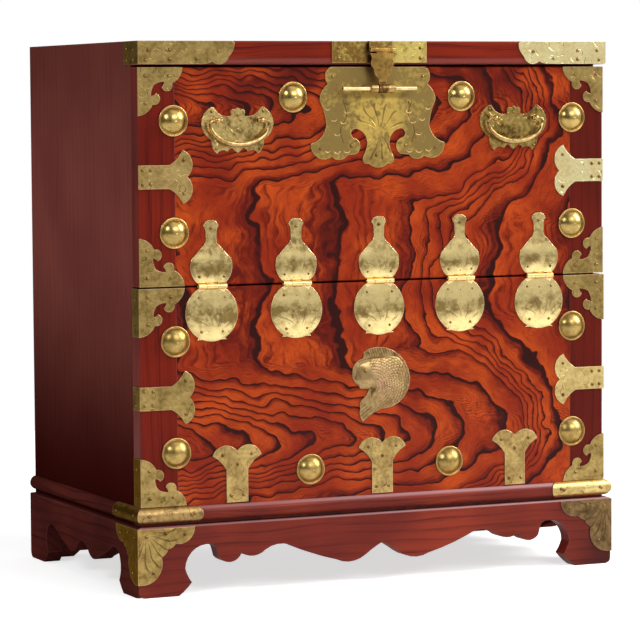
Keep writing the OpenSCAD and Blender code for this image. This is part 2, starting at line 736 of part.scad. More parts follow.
// The plate carries a raised tab, whose lower edge is rolled into the two outer knuckles. The
// tab stands just behind the hasp, which can swing right up in front of it.
module hasp_plate() color(bright_brass) {
    chest() translate([0, -top_lip, 0]) facing(brass_t)
        polygon([[-hasp_plate_w / 2, lip_z + 2], [hasp_plate_w / 2, lip_z + 2],
                 [hasp_plate_w / 2, total_h], [-hasp_plate_w / 2, total_h]]);
    at_hasp() difference() {
        half = hasp_knuckle_l / 2;
        tab_y = hasp_t / 2 + back_gap;
        union() {
            block([-half, tab_y, hasp_drop - hasp_t], [half, lock_y - top_lip - bite, hasp_drop]);
            block([-half, tab_y, 0], [half, knuckle_r, hasp_drop]);
            along_x(knuckle_r, -half, half);
        }
        along_x(pin_hole_r, -hasp_knuckle_l, hasp_knuckle_l);
        block([-hasp_middle / 2 - side_gap, -knuckle_r - 1, -knuckle_r - 1],
              [hasp_middle / 2 + side_gap, knuckle_r + 1, knuckle_r + back_gap]);
    }
}

module hasp_pin() color(bright_brass) at_hasp()
    along_x(pin_r, -hasp_knuckle_l / 2 - 0.8, hasp_knuckle_l / 2 + 0.8);

// A scalloped strap that tapers to the loop round the rod
module hasp() color(brass) {
    drop = hasp_z - lock_z;
    foot = eye_r - 0.3 - drop;
    at_hasp() {
        translate([0, hasp_t / 2, 0]) facing(hasp_t)
            polygon(outline(both_halves([[eye_w / 2, foot, 0], [eye_w / 2, -33, 2.2],
                [10.9, -22, 2.4], [13.6, -11.2, -0.8], [hasp_knuckle_l / 2, -4.5, 0],
                [hasp_middle / 2, -4.5, 0], [hasp_middle / 2, -pin_hole_r - 0.5, 0]])));
        difference() {
            along_x(knuckle_r, -hasp_middle / 2, hasp_middle / 2);
            along_x(pin_hole_r, -hasp_middle, hasp_middle);
        }
    }
    at_rod() difference() {
        along_x(eye_r, -eye_w / 2, eye_w / 2);
        along_x(rod_r + run_fit, -eye_w, eye_w);
    }
}

// ---- Handles --------------------------------------------------------------------------------

module at_handle(left) chest() mirrored_if(left) translate([handle_x, 0, handle_z]) children();

// A bat-winged plate with a small flower at the top
module handle_plate(left) color(brass) at_handle(left) {
    k = handle_plate_w / 89.6;
    facing(brass_t) polygon(outline(both_halves(scaled([[0, -37, 0.4], [6.8, -31, -0.8],
        [12.6, -35.8, -3.2], [25.4, -38, 2.3], [32.4, -22, 3], [44.8, -3, 2.8],
        [33.5, 14.6, 1.2], [28.8, 14, -3.2], [10, 4.8, 0]], k))));
    facing(brass_t + 0.8) scale(k) {
        translate([0, 7.6]) circle(5.4);
        for (p = [[0, 11.3, 3], [5.4, 9.3, 3.6], [-5.4, 9.3, 3.6], [5.2, 4.6, 3.6], [-5.2, 4.6, 3.6]])
            translate([p[0], p[1]]) circle(p[2]);
    }
}

module handle_plate_left() handle_plate(true);
module handle_plate_right() handle_plate(false);

// Each post has a round head with a hole across it for the end of the bail.
post_head_r = 3.5;

module handle_posts() color(bright_brass)
    for (left = [true, false], x = [-post_x, post_x])
        at_handle(left) translate([x, 0, 0]) difference() {
            rotate([90, 0, 0]) rotate(90) rotate_extrude() intersection() {
                union() {
                    translate([0, brass_t]) square([4.2, 0.8]);
                    square([2.2, bail_y]);
                    translate([0, bail_y]) circle(post_head_r);
                }
                translate([0, brass_t]) square([5, bail_y + post_head_r]);
            }
            translate([0, -bail_y, 0]) along_x(bail_end_r + run_fit, -8, 8);
        }

// The bar's middle line: a bend beside the post, then half an ellipse, then the other bend
bail_bend = 4;
bail_sides = 12;
bail_path = concat(
    [for (t = [90:-18:18]) [bail_w - bail_bend + bail_bend * cos(t), bail_bend * (sin(t) - 1)]],
    [for (t = [0:6:180]) [bail_w * cos(t), -bail_bend - (bail_drop - bail_bend) * sin(t)]],
    [for (t = [18:18:90]) [bail_bend - bail_w - bail_bend * cos(t), bail_bend * (sin(t) - 1)]]);
bail_last = len(bail_path) - 1;

function bail_along(i) =
    let (v = bail_path[min(i + 1, bail_last)] - bail_path[max(i - 1, 0)]) v / norm(v);
function bail_ring_r(i) =
    bail_end_r - 0.1 + (bail_mid_r - bail_end_r + 0.1) * pow(sin(180 * i / bail_last), 2);

// The bar swells towards its middle. Its two round ends turn in through the posts.
module bail(left) color(bright_brass) at_handle(left) translate([0, -bail_y, 0]) {
    points = [for (i = [0:bail_last], k = [0:bail_sides - 1])
        let (p = bail_path[i], v = bail_along(i), a = 360 * k / bail_sides, r = bail_ring_r(i))
        [p[0] + r * cos(a) * v[1], r * sin(a), p[1] - r * cos(a) * v[0]]];
    walls = [for (i = [0:bail_last - 1], k = [0:bail_sides - 1])
        let (a = i * bail_sides + k, b = i * bail_sides + (k + 1) % bail_sides)
        each [[a, b + bail_sides, b], [a, a + bail_sides, b + bail_sides]]];
    n = bail_last * bail_sides;
    ends = [for (k = [1:bail_sides - 2]) each [[0, k, k + 1], [n, n + k + 1, n + k]]];
    polyhedron(points, concat(walls, ends));
    tip = post_x - post_head_r - side_gap;
    for (left_end = [true, false])
        mirrored_if(left_end) {
            along_x(bail_end_r, tip - bite, bail_w - bail_bend + 0.6);
            along_x(bail_end_r + 0.6, tip - 1.2, tip);
        }
}

module bail_left() bail(true);
module bail_right() bail(false);

// ---- The pieces -----------------------------------------------------------------------------

side_left();
side_right();
top_board();
bottom_board();
back_panel();
lower_board();
lower_border_left();
lower_border_right();
moulding_front();
moulding_left();
moulding_right();
apron_front();
apron_left();
apron_right();
apron_back();
base_corner_blocks();
flap_board();
flap_border_left();
flap_border_right();
upper_leaf(1);  // hinge_leaf_upper_1
upper_leaf(2);  // hinge_leaf_upper_2
upper_leaf(3);  // hinge_leaf_upper_3
upper_leaf(4);  // hinge_leaf_upper_4
upper_leaf(5);  // hinge_leaf_upper_5
lower_leaf(1);  // hinge_leaf_lower_1
lower_leaf(2);  // hinge_leaf_lower_2
lower_leaf(3);  // hinge_leaf_lower_3
lower_leaf(4);  // hinge_leaf_lower_4
lower_leaf(5);  // hinge_leaf_lower_5
hinge_pins();
top_corner_left();
top_corner_right();
flap_brackets_top();
flap_brackets_bottom();
lower_brackets_top();
lower_brackets_bottom();
flap_strap_left();
flap_strap_right();
lower_strap_left();
lower_strap_right();
bottom_straps();
flap_bosses();
lower_bosses();
carp_plate();
moulding_clip_left();
moulding_clip_right();
foot_bracket_left();
foot_bracket_right();
hasp_plate();
hasp_pin();
hasp();
lock_plate();
lock_eyes();
lock_rod();
handle_plate_left();
handle_plate_right();
handle_posts();
bail_left();
bail_right();
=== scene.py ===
# %% [markdown]
# # A drop-front blanket chest
# The chest is lacquered elm under brass plates. Its CAD model is already exact, so this script
# leaves the solids where they are and gives them what CAD can't: figured wood under gloss
# lacquer, worn and engraved brass, and the light of the photograph. It adds the smallest pieces,
# which are nails, punched crescents and the carp's round body, and it draws the ten leaves of
# the hinges again in smoother skins.

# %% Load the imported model
import math

import bmesh
import bpy
from mathutils import Matrix, Vector


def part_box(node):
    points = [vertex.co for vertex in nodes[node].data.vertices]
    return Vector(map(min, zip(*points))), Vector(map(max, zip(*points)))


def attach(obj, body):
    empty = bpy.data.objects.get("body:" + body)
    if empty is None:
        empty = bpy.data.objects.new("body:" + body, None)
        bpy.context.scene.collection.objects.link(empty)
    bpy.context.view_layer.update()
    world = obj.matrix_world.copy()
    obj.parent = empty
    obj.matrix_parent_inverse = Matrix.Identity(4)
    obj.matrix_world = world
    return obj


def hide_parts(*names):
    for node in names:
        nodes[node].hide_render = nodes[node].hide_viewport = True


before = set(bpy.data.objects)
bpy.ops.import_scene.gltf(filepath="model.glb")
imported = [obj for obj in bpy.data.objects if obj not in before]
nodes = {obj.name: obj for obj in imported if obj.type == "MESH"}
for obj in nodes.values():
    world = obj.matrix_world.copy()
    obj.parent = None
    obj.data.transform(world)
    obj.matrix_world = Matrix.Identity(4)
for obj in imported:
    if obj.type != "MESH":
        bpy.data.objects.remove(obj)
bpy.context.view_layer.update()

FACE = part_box("flap_board")[0][1]
MM = 1000  # in a metre: meshes are in metres, and most sizes below are in millimetres
print("front face of the panels at y =", round(FACE, 5), "nodes:", len(nodes))

# %% [markdown]
# ## Camera
# The photograph was taken with a long lens from the left front, a little above the middle of the
# chest. A camera could be turned by hand until it looks right. These numbers come from fitting
# the corners of the case instead, so the render can be laid over the picture.

# %% Camera
AZIMUTH, PITCH, ROLL = math.radians(24.44), math.radians(4.01), math.radians(-0.396)
CAMERA_PLACE = (-1.5541, -3.2529 + FACE, 0.5598)
LENS, SENSOR = 173.5, 36
NEAREST, FARTHEST = 0.1, 100


def add_object(name, data):
    """A new object in the scene, at the origin."""
    thing = bpy.data.objects.new(name, data)
    bpy.context.scene.collection.objects.link(thing)
    return thing


ahead = Vector((math.sin(AZIMUTH) * math.cos(PITCH), math.cos(AZIMUTH) * math.cos(PITCH),
                -math.sin(PITCH)))
level_right = ahead.cross(Vector((0, 0, 1))).normalized()
level_up = level_right.cross(ahead)
right = level_right * math.cos(ROLL) + level_up * math.sin(ROLL)
up = level_up * math.cos(ROLL) - level_right * math.sin(ROLL)
camera = add_object("camera", bpy.data.cameras.new("camera"))
camera.matrix_world = Matrix([*zip(right, up, -ahead, CAMERA_PLACE), (0, 0, 0, 1)])
camera.data.sensor_width = SENSOR
camera.data.lens = LENS
camera.data.clip_start, camera.data.clip_end = NEAREST, FARTHEST
bpy.context.scene.camera = camera
print("camera at", [round(v, 3) for v in CAMERA_PLACE], "with a lens of", LENS, "mm")

# %% [markdown]
# ## Colours
# Colours are written as they look on a screen, from 0 to 255. Blender mixes light in a linear
# scale, so one function turns the first into the second.

# %% Colour helper
def paint(r, g, b):
    """A screen colour in the linear scale. The screen's curve is straight in its darkest part."""
    levels = (v / 255 for v in (r, g, b))
    return (*(v / 12.92 if v < 0.04045 else ((v + 0.055) / 1.055) ** 2.4 for v in levels), 1.0)


# %% [markdown]
# ## Shader arithmetic
# A wood grain is a formula: rings, stretched and bent. Built by hand from nodes it is hard to
# follow, so a small class wraps a socket and lets the formula be written as Python. Each sum
# adds the node that works it out.

# %% A wire that can be added, multiplied and shaped
class Wire:
    def __init__(self, tree, socket):
        self.tree = tree
        self.socket = socket

    def make(self, kind, settings=None, inputs=None, output=0):
        """Adds any node: its settings first, then the values or wires of its sockets."""
        node = self.tree.nodes.new(kind)
        for name, value in (settings or {}).items():
            setattr(node, name, value)
        for key, value in (inputs or {}).items():
            if isinstance(value, Wire):
                self.tree.links.new(value.socket, node.inputs[key])
            else:
                node.inputs[key].default_value = value
        return Wire(self.tree, node.outputs[output])

    def math(self, operation, *values):
        return self.make("ShaderNodeMath", {"operation": operation}, dict(enumerate(values)))

    def __add__(self, other): return self.math("ADD", self, other)
    def __radd__(self, other): return self.math("ADD", other, self)
    def __sub__(self, other): return self.math("SUBTRACT", self, other)
    def __rsub__(self, other): return self.math("SUBTRACT", other, self)
    def __mul__(self, other): return self.math("MULTIPLY", self, other)
    def __rmul__(self, other): return self.math("MULTIPLY", other, self)
    def __truediv__(self, other): return self.math("DIVIDE", self, other)
    def __pow__(self, other): return self.math("POWER", self, other)

    def fraction(self): return self.math("FRACT", self)
    def size(self): return self.math("ABSOLUTE", self)
    def cosine(self): return self.math("COSINE", self)
    def larger(self, other): return self.math("MAXIMUM", self, other)
    def smaller(self, other): return self.math("MINIMUM", self, other)
    def angle(self, across): return self.math("ARCTAN2", self, across)

    def off_centre(self):
        """0 in the middle of each whole step, and 0.5 at both its ends."""
        return (self.fraction() - 0.5).size()

    def rise(self, start, end, low=0.0, high=1.0):
        """Goes smoothly from low to high while the wire goes from start to end."""
        return self.make("ShaderNodeMapRange", {"interpolation_type": "SMOOTHSTEP"},
                         {0: self, 1: start, 2: end, 3: low, 4: high})

    def fall(self, start, end):
        """Goes smoothly from 1 to 0 while the wire goes from start to end."""
        return 1 - self.rise(start, end)

    def band(self, start, full, ebb, end):
        """Rises to 1 between the first two values and falls to 0 between the last two."""
        return self.rise(start, full) * self.fall(ebb, end)


def blend(mask, first, second):
    """The first colour where the mask is 0, the second where it is 1."""
    first, second = (c if isinstance(c, Wire) else paint(*c) for c in (first, second))
    # In a Mix node, inputs 6 and 7 are the two colours and output 2 is their blend.
    return mask.make("ShaderNodeMix", {"data_type": "RGBA"}, {0: mask, 6: first, 7: second}, 2)


# %% [markdown]
# Every material starts in the same way: a Principled shader, and the place on the object in
# millimetres. The pieces all sit at the origin, so one place serves the whole chest and the
# grain runs on from board to board.

# %% Start a material
class Finish:
    def __init__(self, name, **constants):
        self.material = bpy.data.materials.new(name)
        self.material.use_nodes = True
        tree = self.material.node_tree
        self.shader = tree.nodes["Principled BSDF"]
        for socket, value in constants.items():
            self.shader.inputs[socket.replace("_", " ")].default_value = value
        metres = Wire(tree, tree.nodes.new("ShaderNodeTexCoord").outputs["Object"])
        place = metres.make("ShaderNodeVectorMath", {"operation": "SCALE"},
                            {0: metres, "Scale": MM})
        split = tree.nodes.new("ShaderNodeSeparateXYZ")
        tree.links.new(place.socket, split.inputs[0])
        self.x, self.y, self.z = (Wire(tree, out) for out in split.outputs)

    def at(self, x, y, z):
        return self.x.make("ShaderNodeCombineXYZ", inputs={0: x, 1: y, 2: z})

    def noise(self, x, y, z, detail=2.0, rough=0.5):
        """Smooth noise from 0 to 1 at a place given in its own grid."""
        return self.x.make("ShaderNodeTexNoise", inputs={
            "Vector": self.at(x, y, z), "Scale": 1.0, "Detail": detail, "Roughness": rough})

    def wear(self, length, detail=3.0, shift=0.0):
        """Noise whose blotches are about length across, in millimetres."""
        return self.noise(self.x / length + shift, self.y / length, self.z / length, detail)

    def pushed(self, wire, bends):
        """Moves a wire to and fro by noise; a bend is a push, a length, a detail and a shift."""
        for push, length, detail, shift in bends:
            wire = wire + push * (self.wear(length, detail, shift) - 0.5)
        return wire

    def flat(self):
        """The way the bare face looks, with its edges still sharp."""
        return self.x.make("ShaderNodeNewGeometry", output="True Normal")

    def broken(self, radius):
        """The way the surface looks once its edges are rounded off, by a radius in metres."""
        return self.x.make("ShaderNodeBevel", {"samples": 4}, {"Radius": radius})

    def rim(self, radius):
        """1 along the edges, 0 on the flat."""
        same = self.x.make("ShaderNodeVectorMath", {"operation": "DOT_PRODUCT"},
                           {0: self.flat(), 1: self.broken(radius)}, "Value")
        return (1 - same).rise(0.02, 0.14)

    def sideways(self):
        """1 where the surface faces left or right, 0 where it faces the front."""
        return self.x.make("ShaderNodeSeparateXYZ", inputs={0: self.flat()}).size().rise(0.2, 0.75)

    def relief(self, height, distance, strength, radius=0.0007):
        """Small hills and cuts, on edges that are broken as if by a file or a plane."""
        return height.make("ShaderNodeBump", inputs={
            "Height": height, "Distance": distance, "Strength": strength,
            "Normal": self.broken(radius)})

    def use(self, **wires):
        for socket, wire in wires.items():
            wire.tree.links.new(wire.socket, self.shader.inputs[socket.replace("_", " ")])
        return self.material


# %% [markdown]
# ## Figured elm
# The two big boards are cut along a wavy trunk, so the year rings make figures and no straight
# lines. A picture of wood could be wrapped round them, but it would be another board's. A formula
# gives lines of the same kind anywhere. Each board has a heart at the left, and its rings are
# flat ovals that point to the right. Between the two hearts the rings run upright over the hinge
# line, and wider apart. So the ring number is a count of millimetres that changes from one rule
# to the other with the distance from the nearer heart, and noise pushes the lines about.

# %% Count the rings of the figured boards
LOWER_HEART, UPPER_HEART = 168.0, 556.0
RING_PITCH, SQUEEZE = 41.0, 1.4
TURN_AT_LEFT, TURN_AT_RIGHT = 95, 145
UPRIGHT_START, UPRIGHT_SHARE = 182.0, 0.4
FIRST_RING, CROWDED_RINGS = 20, 4
BENDS_ACROSS = ((76, 80, 2.0, 0.0), (21, 27, 1.0, 7.3), (6, 8, 1.0, 2.7))
BENDS_UP = ((34, 80, 2.0, 3.1), (16, 25, 1.0, 5.7))


def ring_number(f):
    """The number of the ring at each place, and how far the rings have turned upright there."""
    x = f.pushed(f.x, BENDS_ACROSS)
    z = f.pushed(f.z, BENDS_UP)
    outside = (LOWER_HEART - z).larger(z - UPPER_HEART)
    from_heart = (-1 * outside).larger(0.0) + SQUEEZE * outside.larger(0.0)
    turned = (from_heart / x.rise(-40, 150, TURN_AT_LEFT, TURN_AT_RIGHT)).rise(0.0, 1.0)
    upright = UPRIGHT_START + UPRIGHT_SHARE * x
    place = x + (upright - x) * turned
    ring = place / RING_PITCH + CROWDED_RINGS * place.rise(190, 240) + FIRST_RING
    return ring + 0.5 * (f.wear(50, 2.0, 11.0) - 0.5), turned


# %% [markdown]
# Each ring darkens slowly and stops sharply, as late wood does. Between two rings run fainter
# ones, and over all of them lie fibres, pores and cloudy patches of lacquer.

# %% Figured elm
RING_BROWN, PORE_BROWN, FOOT_BROWN = (112, 25, 9), (84, 18, 8), (58, 14, 8)


def figured_elm(name, light, deep, dark):
    f = Finish(name, Roughness=0.34, Specular_IOR_Level=0.12, Coat_Weight=0.05, Coat_Roughness=0.1)
    ring, turned = ring_number(f)
    share = ring.fraction()
    bold = f.wear(75, 2.0, 21.0).rise(0.36, 0.62)
    late = share.band(0.76 + 0.1 * turned, 0.94, 0.95, 0.985)
    soft = share.band(0.45, 0.95, 0.95, 1.0)
    twin = (ring * (4 + 3 * turned) + 0.8 * (f.wear(40, 2.0, 31.0) - 0.5)).fraction()
    faint = twin.band(0.3, 0.8, 0.88, 1.0) * f.wear(45, 2.0, 41.0).rise(0.36, 0.6)
    fibre = f.noise(ring * 20, f.x / 13, f.z / 13, 4.0, 0.7)
    pores = f.noise(f.x / 0.8, f.y / 3, f.z / 3, 2.0)
    clouds = f.wear(48, 2.0, 61.0).rise(0.42, 0.62) * (0.03 + 0.3 * f.z.rise(520, 600))

    lines = 0.66 * late * (0.42 + 0.85 * bold) + 0.34 * soft + 0.22 * faint
    shade = lines + 0.8 * (fibre - 0.42) + clouds
    ground = blend(f.wear(60, 3.0, 51.0).rise(0.36, 0.64), light, deep)
    brown = blend(shade.rise(-0.04, 0.42), ground, RING_BROWN)
    colour = blend(shade.rise(0.28, 0.82), brown, dark)
    colour = blend(pores.rise(0.56, 0.75, 0.0, 0.4), colour, PORE_BROWN)
    colour = blend(f.z.fall(97, 104) * 0.85, colour, FOOT_BROWN)
    height = 1 - 0.6 * late - 0.4 * pores.rise(0.6, 0.8)
    return f.use(Base_Color=colour, Normal=f.relief(height, 0.0001, 0.4))


ELM = figured_elm("figured elm", (204, 80, 23), (156, 46, 15), (46, 8, 4))

# %% [markdown]
# ## Plain elm
# The borders, the case and the base are straight-grained boards under darker lacquer. The same
# recipe serves them all: noise drawn out along the grain, a few wide cathedral rings, and a
# painted highlight along the edges. Only the way of the grain, the colours, and the stains and
# painted light and shade differ, so these are the recipe's inputs.

# %% Straight-grained elm
WOOD_EDGE_HIGHLIGHT, EDGE_ROUND = (168, 104, 98), 0.0018
PLAIN_PITCH, PLAIN_BEND = 13, 26


def plain_elm(name, along, light, deep, dark, sheen, contrast, shade_and_stain=None):
    """The grain runs along x, y or z; the last input gives masks and the colour that each brings:
    painted light and shade, and stains.
    """
    f = Finish(name, Roughness=0.38, Specular_IOR_Level=sheen, Coat_Weight=sheen / 3,
               Coat_Roughness=0.1)
    ways = {"z": (f.z, f.x, f.y), "x": (f.x, f.z, f.y), "y": (f.y, f.z, f.x)}
    long, short, third = ways[along]
    across = short + third * 0.9
    bend = PLAIN_BEND * (f.noise(long / 240, across / 90, 0.0, 2.0) - 0.5)
    rings = ((across + bend) / PLAIN_PITCH + 50.0).fraction()
    late = rings.band(0.35, 0.9, 0.92, 1.0)
    streak = f.noise(long / 130, (across + bend) / 2.2, 0.0, 4.0, 0.7)
    pores = f.noise(long / 9, across / 0.7, f.y / 0.7, 2.0)
    ground = blend(f.wear(150, 2.0, 3.0).rise(0.3, 0.7), light, deep)
    shade = (contrast * (0.42 * late + 0.75 * streak.rise(0.42, 0.75))).rise(0.05, 1.1)
    colour = blend(shade, ground, dark)
    colour = blend(pores.rise(0.6, 0.8, 0.0, 0.25), colour, dark)
    for mask, tint in shade_and_stain(f) if shade_and_stain else ():
        colour = blend(mask, colour, tint)
    # A painted highlight along the rounded edges, which also stands for their wear.
    colour = blend(f.rim(EDGE_ROUND) * 0.4, colour, WOOD_EDGE_HIGHLIGHT)
    height = 1 - 0.5 * pores.rise(0.6, 0.8) - 0.3 * late
    return f.use(Base_Color=colour, Normal=f.relief(height, 0.0001, 0.4, EDGE_ROUND))


# %% [markdown]
# Light and shade are painted into the lacquer: a painted reflection along the lower edge of the
# top board, painted highlights along the tops of the moulding and the apron, and painted shade low
# on the sides and on the right foot. The borders are darker towards the right.
# Each of these is a mask over the height and the width of the chest, with the colour that it
# brings.

# %% Painted light and shade on the lacquer
def painted_side_shade(f):
    """Painted shade: the sides darken towards the floor and a little towards the top; the right is
    redder.
    """
    return [(0.6 * f.x.rise(0, 250), (88, 26, 16)),
            (0.92 * f.z.fall(100, 400) + 0.3 * f.z.rise(470, 620), (46, 2, 0))]


def darker_right(f):
    """The borders are darker towards the right."""
    return [(0.4 * f.x.rise(0, 250), (70, 17, 9))]


def painted_lip_reflection(f):
    """A painted reflection of the floor along the top board's rounded lower front edge."""
    return [(0.45 * f.z.fall(609, 615), (150, 84, 78))]


def painted_ledge_light(f):
    """Painted highlights along the tops of the moulding and the apron, stronger to the right;
    painted shade on the right foot.
    """
    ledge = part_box("moulding_front")[1][2] * MM
    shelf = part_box("apron_front")[1][2] * MM
    # Painted highlights along the top of the moulding and the top of the apron.
    pale = (f.z.rise(ledge - 4.5, ledge - 1.5)
            + f.z.band(shelf - 2.2, shelf - 0.6, shelf, shelf + 0.3))
    # Painted shade on the right foot.
    foot = f.x.rise(215, 300) * f.z.fall(10, 75)
    return [(pale * f.x.rise(-300, 250, 0.3, 0.75), (206, 160, 162)), (0.8 * foot, (52, 12, 14))]


# %% Lay the woods on the boards
BORDER = plain_elm("border elm", "z", (128, 33, 15), (104, 23, 11), (60, 9, 6),
                   0.1, 0.8, darker_right)
SIDE = plain_elm("side elm", "z", (138, 74, 65), (124, 64, 58), (80, 35, 31),
                 0.0, 0.5, painted_side_shade)
TOP = plain_elm("top elm", "x", (138, 38, 16), (120, 30, 12), (70, 13, 8),
                0.1, 1.0, painted_lip_reflection)
BASE = plain_elm("base elm", "x", (154, 56, 34), (114, 36, 25), (78, 20, 14),
                 0.16, 0.9, painted_ledge_light)
# A darker copy of the base elm for the pieces at the sides: painted shade. Its grain runs front to
# back.
BASE_SHADED = plain_elm("shaded base elm", "y", (108, 47, 40), (80, 36, 32), (44, 22, 20),
                      0.0, 0.8)
# The last row whose word is in a piece's name gives its wood.
WOODS = (("border", BORDER), ("side_", SIDE), ("back_panel", SIDE), ("top_board", TOP),
         ("bottom_board", TOP), ("moulding_front", BASE), ("moulding_left", BASE_SHADED),
         ("moulding_right", BASE_SHADED), ("apron", BASE), ("apron_left", BASE_SHADED),
         ("apron_right", BASE_SHADED), ("base_corner_blocks", BASE_SHADED),
         ("flap_board", ELM), ("lower_board", ELM))


def dress(piece, material):
    piece.data.materials.clear()
    piece.data.materials.append(material)


wooden = set()
for name, piece in nodes.items():
    for word, wood in WOODS:
        if word in name:
            dress(piece, wood)
            wooden.add(name)
print("wooden pieces:", len(wooden))

# %% [markdown]
# ## Brass
# The plates are sawn from sheet, chased with a small graver and rubbed for a hundred years.
# Metal has almost no colour of its own apart from what it reflects, so the finish is in the
# roughness, in brown patina that stays in the low places, and in the relief of the chasing.
# Cuts in the mesh would take millions of faces. A formula that gives 1 on a cut line and 0 on the
# plain metal takes none, and each kind of plate brings its own: curls on most, leaves on the
# feet, scales on the carp.

# %% Worn and chased brass, with painted highlights and shade
CURL_SPACING = 21


def curls(f):
    """Short curved cuts: parts of rings about scattered points."""
    spot = f.x.make("ShaderNodeTexVoronoi", {"feature": "F1"}, {
        "Vector": f.at(f.x / CURL_SPACING + 0.3 * f.wear(13, 1.0, 2.0),
                       f.y / CURL_SPACING, f.z / CURL_SPACING), "Scale": 1.0})
    return (spot * 3.4).off_centre().fall(0.02, 0.08) * f.wear(11, 2.0, 6.0).rise(0.5, 0.56)


# What brass reflects when it is seen almost edge on; white there would turn dark brass grey.
GRAZING = (0.76, 0.6, 0.42, 1)
SPOT_BROWN, CUT_BROWN, FLANGE_SHADE = (74, 54, 22), (84, 62, 26), (72, 45, 14)
BRASS_EDGE_HIGHLIGHT_LIFT = (56, 40, 50)


def worn_brass(name, bright, dull, chasing=None, rough=0.3, depth=1.0, rubbed_and_lit=None):
    """Brass between two colours; the last input gives 1 where the brass is kept bright: by wear on
    the lock and the hasp, by painted reflections on the gourds.
    """
    f = Finish(name, Metallic=1.0, Specular_Tint=GRAZING)
    patina = 0.6 * f.wear(20, 5.0).rise(0.4, 0.62) + 0.4 * f.wear(5, 3.0, 3.0).rise(0.41, 0.6)
    if rubbed_and_lit:
        patina = ((patina + 0.7) * (1 - rubbed_and_lit(f))).rise(0.0, 1.2)
    spots = f.wear(2.8, 3.0, 9.0).rise(0.62, 0.74) * f.wear(18, 1.0, 14.0).rise(0.4, 0.6)
    hammer = f.wear(18, 1.0, 4.0)
    cut = chasing(f) if chasing else f.x * 0.0
    colour = blend(patina, bright, dull)
    colour = blend(spots * 0.6, colour, SPOT_BROWN)
    colour = blend(cut * 0.65 * depth, colour, CUT_BROWN)
    if chasing:
        # Painted shade on the low faces that look to the left or the right.
        shaded_low_flange = 0.85 * f.sideways() * f.z.fall(150, 280)
        colour = blend(shaded_low_flange, colour, FLANGE_SHADE)
    # A painted highlight along the edges, which also stands for their wear.
    edge_highlight_and_wear = [min((a + b) / 2 + more, 255) for a, b, more in zip(bright, dull, BRASS_EDGE_HIGHLIGHT_LIFT)]
    colour = blend(f.rim(0.0016) * 0.8, colour, edge_highlight_and_wear)
    height = 1.3 * hammer - 0.3 * depth * cut - 0.15 * spots
    return f.use(Base_Color=colour, Roughness=rough + 0.1 * patina + 0.15 * spots,
                 Normal=f.relief(height, 0.0011, 0.5))


# %% [markdown]
# The foot brackets carry a spray of leaves from their upper corner, and the round bodies of the
# gourd hinges carry sprigs. Both are one fan of bowed ribs, drawn round a point of the plate.

# %% Chasing of the feet and the gourds, and painted reflections on the gourds
FOOT_CORNER = 307
GOURD_PITCH = 106
LOWER_SPRIG, UPPER_SPRIG = 300, 361
LOWER_BELLY, UPPER_BELLY = 320, 373


def fan(f, across, down, ribs, start, end):
    """Bowed ribs that spread from one point, between two distances from it."""
    reach = (across * across + down * down) ** 0.5
    bowed = down.angle(across) * ribs + 0.35 * (reach / 9).cosine() + 0.2 * f.wear(12, 1.0)
    return bowed.off_centre().fall(0.03, 0.16) * reach.band(start, start + 5, end - 8, end)


def leaves(f):
    """A spray that starts at the upper corner of a foot bracket and goes round its fold."""
    behind = f.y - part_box("apron_front")[0][1] * MM
    inwards = FOOT_CORNER - f.x.size() + behind - 9
    return fan(f, inwards + 4, 72 - f.z, 3.1, 4, 46) + 0.5 * curls(f)


def beside_gourd(f):
    """How far a place is to the right of the middle of the nearest gourd."""
    return ((f.x / GOURD_PITCH + 10.5).fraction() - 0.5) * GOURD_PITCH


def sprigs(f):
    """A small sprig in each round of the gourd hinges."""
    u = beside_gourd(f)
    upper = fan(f, u, f.z - UPPER_SPRIG, 1.5, 4, 24) * f.z.rise(365, 369)
    lower = fan(f, u, f.z - LOWER_SPRIG, 1.5, 5, 31) * f.z.band(305, 309, 334, 338)
    return upper + lower


def painted_gourd_reflections(f):
    """Painted reflections on the domed gourds: bright above and below the belly and in the middle,
    dark across the belly and at the top, brighter towards the right; the blotches are olive
    patina.
    """
    across = (beside_gourd(f) / 22).size()
    belly = (f.z - LOWER_BELLY).size().smaller((f.z - UPPER_BELLY).size() * 1.25)
    blotches = 0.3 * f.wear(9, 3.0, 27.0).rise(0.42, 0.6)
    lit = 0.2 * f.x.rise(-220, 60) - 0.4 * f.z.rise(383, 395)
    return 0.22 + 0.6 * belly.rise(0, 17) + 0.12 * (1 - across) + lit - blotches


# %% [markdown]
# The lock is used every day. Its plate is brightest in the middle, where hands have rubbed it,
# and has a blossom above, a spray in its tongue and a painted shadow under the rod. The hasp's
# plate is brighter at the right of the hasp, and the hasp's loop is darker than its strap.

# %% Chasing and wear of the lock, and a painted shadow under the rod
LOCK_X, ROD_X, ROD_Z = -1, -6, 569
BLOSSOM_FOOT, TONGUE_TOP = 527, 524


def lock_middle(f):
    """Rubbed in the middle, with blotches."""
    middle = ((f.x - LOCK_X).size().fall(16, 46) * f.z.fall(572, 588)
              * f.z.rise(490, 535, 0.35, 1.0))
    return middle * (0.95 - 0.6 * f.wear(9, 4.0, 17.0).rise(0.46, 0.62))


